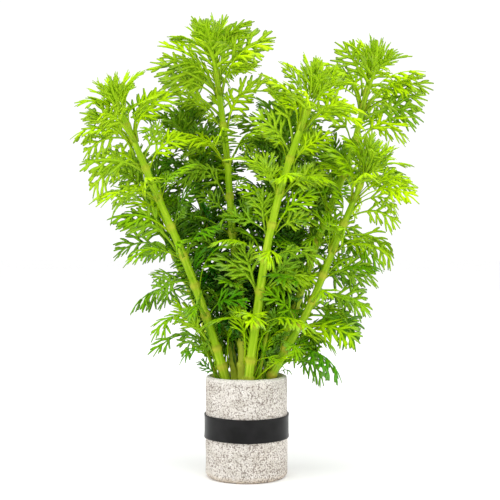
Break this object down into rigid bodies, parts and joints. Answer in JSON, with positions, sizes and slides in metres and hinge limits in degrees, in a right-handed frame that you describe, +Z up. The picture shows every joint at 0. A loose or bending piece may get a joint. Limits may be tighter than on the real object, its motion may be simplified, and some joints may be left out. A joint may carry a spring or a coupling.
{
  "type": "potted ambulia",
  "caption": "Bunch of feathery ambulia stems standing in a small porous ceramic pot with a black rubber band around it.",
  "frame": {"origin": "centre of the pot's flat underside", "axes": "+Z up along the pot, -Y towards the front, +X to the right seen from the front"},
  "size_m": [0.1315, 0.0864, 0.1709],
  "materials": {
    "pot": "matte",
    "band": "satin",
    "wool": "matte",
    "stem": "satin",
    "leaf": "satin",
    "young_leaf": "satin"
  },
  "bodies": {
    "root": {"pot": "pot", "band": "band", "planting_wool": "wool", "stem_1": "stem", "stem_2": "stem", "stem_3": "stem", "stem_4": "stem", "stem_5": "stem", "stem_6": "stem", "stem_7": "stem", "stem_8": "stem", "stem_9": "stem", "crown_1": "young_leaf", "crown_2": "young_leaf", "crown_3": "young_leaf", "crown_4": "young_leaf", "crown_5": "young_leaf", "crown_6": "young_leaf", "crown_7": "young_leaf", "crown_8": "young_leaf", "crown_9": "young_leaf", "leaf_whorl_1_1": "leaf", "leaf_whorl_1_2": "leaf", "leaf_whorl_1_3": "leaf", "leaf_whorl_1_4": "leaf", "leaf_whorl_2_1": "leaf", "leaf_whorl_2_2": "leaf", "leaf_whorl_2_3": "leaf", "leaf_whorl_2_4": "leaf", "leaf_whorl_3_1": "leaf", "leaf_whorl_3_2": "leaf", "leaf_whorl_3_3": "leaf", "leaf_whorl_3_4": "leaf", "leaf_whorl_4_1": "leaf", "leaf_whorl_4_2": "leaf", "leaf_whorl_4_3": "leaf", "leaf_whorl_4_4": "leaf", "leaf_whorl_5_1": "leaf", "leaf_whorl_5_2": "leaf", "leaf_whorl_5_3": "leaf", "leaf_whorl_5_4": "leaf", "leaf_whorl_6_1": "leaf", "leaf_whorl_6_2": "leaf", "leaf_whorl_6_3": "leaf", "leaf_whorl_6_4": "leaf", "leaf_whorl_7_1": "leaf", "leaf_whorl_7_2": "leaf", "leaf_whorl_7_3": "leaf", "leaf_whorl_7_4": "leaf", "leaf_whorl_8_1": "leaf", "leaf_whorl_8_2": "leaf", "leaf_whorl_8_3": "leaf", "leaf_whorl_8_4": "leaf", "leaf_whorl_9_1": "leaf", "leaf_whorl_9_2": "leaf", "leaf_whorl_9_3": "leaf", "leaf_whorl_9_4": "leaf", "side_shoot_1": "leaf", "side_shoot_2": "leaf"}
  },
  "joints": []
}
